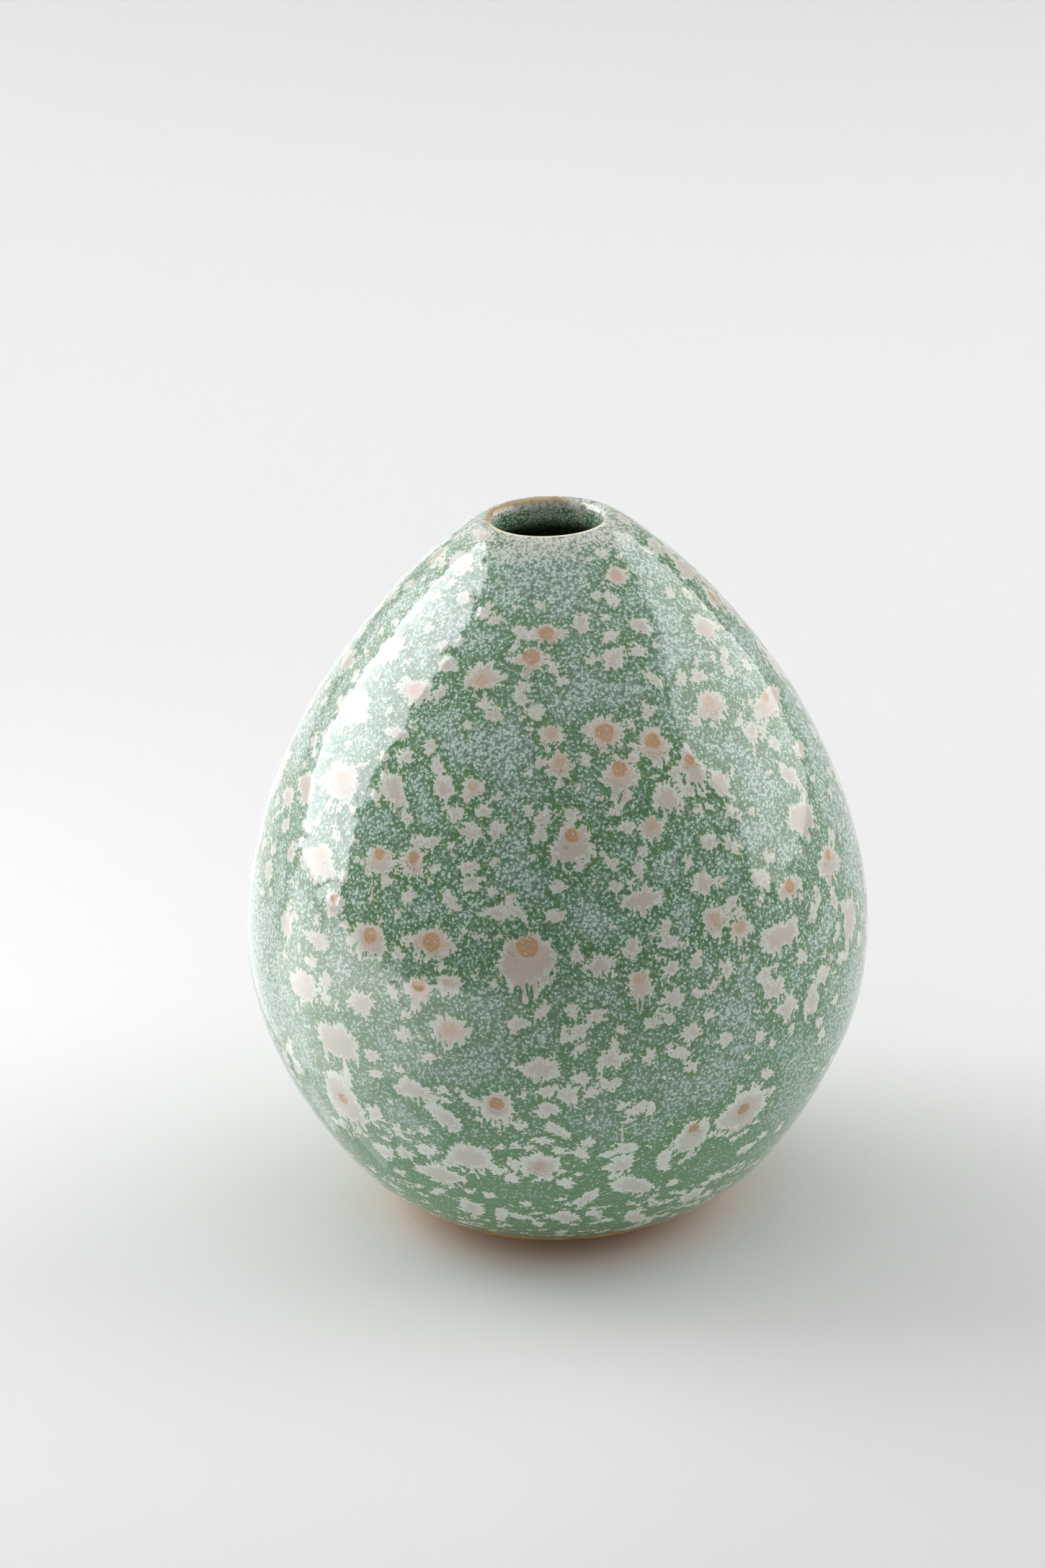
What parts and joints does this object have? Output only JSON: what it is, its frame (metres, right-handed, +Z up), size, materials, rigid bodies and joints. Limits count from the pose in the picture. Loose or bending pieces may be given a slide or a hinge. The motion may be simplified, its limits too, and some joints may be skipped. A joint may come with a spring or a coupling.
{
  "type": "bud vase",
  "caption": "Small egg-shaped ceramic bud vase with a narrow mouth, a speckled crystalline glaze and a bare clay foot ring.",
  "frame": {"origin": "centre of the foot, on the plane the vase stands on", "axes": "+Z up along the turning axis, towards the mouth"},
  "size_m": [0.0958, 0.0958, 0.1108],
  "materials": {
    "clay": "bare fired stoneware, warm orange-brown, matte and slightly sandy",
    "outer_glaze": "glossy green crystalline glaze with pale blue-white flecks and ragged pink-white blossoms",
    "lip_glaze": "thin glossy cream glaze that breaks to tan over the lip",
    "liner_glaze": "glossy green liner glaze with fine pale mottling"
  },
  "bodies": {
    "root": {"clay_body": "clay", "outer_glaze": "outer_glaze", "lip_glaze": "lip_glaze", "liner_glaze": "liner_glaze"}
  },
  "joints": []
}
